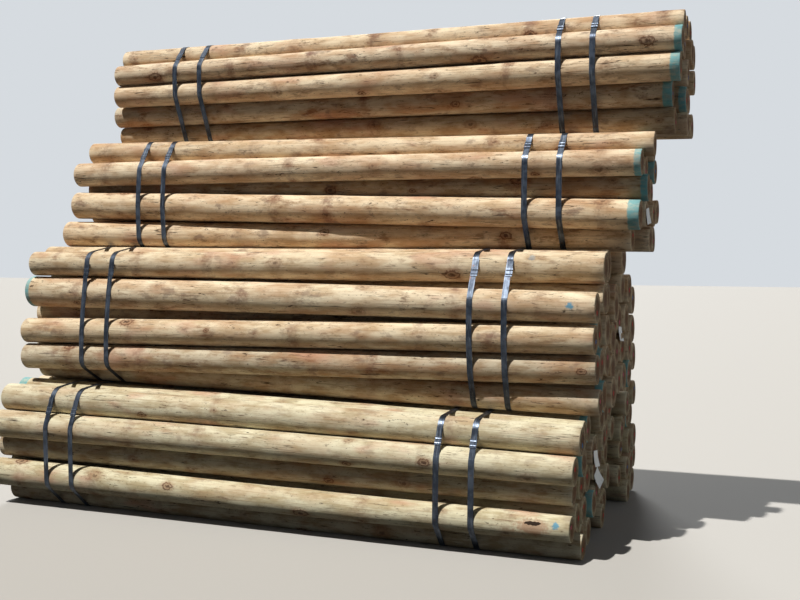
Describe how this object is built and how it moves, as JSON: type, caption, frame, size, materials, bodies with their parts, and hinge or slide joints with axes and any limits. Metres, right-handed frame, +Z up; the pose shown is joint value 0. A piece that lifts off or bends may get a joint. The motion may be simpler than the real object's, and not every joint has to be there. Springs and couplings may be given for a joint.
{
  "type": "stack of strapped logs",
  "caption": "Yard stack of peeled round pine poles in steel-strapped bundles, piled in stepped tiers that lean back.",
  "frame": {"origin": "middle of the stack's footprint box, on the ground", "axes": "+X along the poles, to the right as the leaning front is seen; +Y back into the stack; +Z up"},
  "size_m": [4.079, 1.974, 2.8854],
  "materials": {
    "pine_pole": "peeled and weathered, matt",
    "steel_strap": "worn, slightly dulled"
  },
  "bodies": {
    "root": {"bundle_1_front_poles": "pine_pole", "bundle_1_front_straps": "steel_strap", "bundle_1_middle_poles": "pine_pole", "bundle_1_middle_straps": "steel_strap", "bundle_1_back_poles": "pine_pole", "bundle_1_back_straps": "steel_strap", "bundle_2_front_poles": "pine_pole", "bundle_2_front_straps": "steel_strap", "bundle_2_back_poles": "pine_pole", "bundle_2_back_straps": "steel_strap", "bundle_3_poles": "pine_pole", "bundle_3_straps": "steel_strap", "bundle_4_poles": "pine_pole", "bundle_4_straps": "steel_strap"}
  },
  "joints": []
}
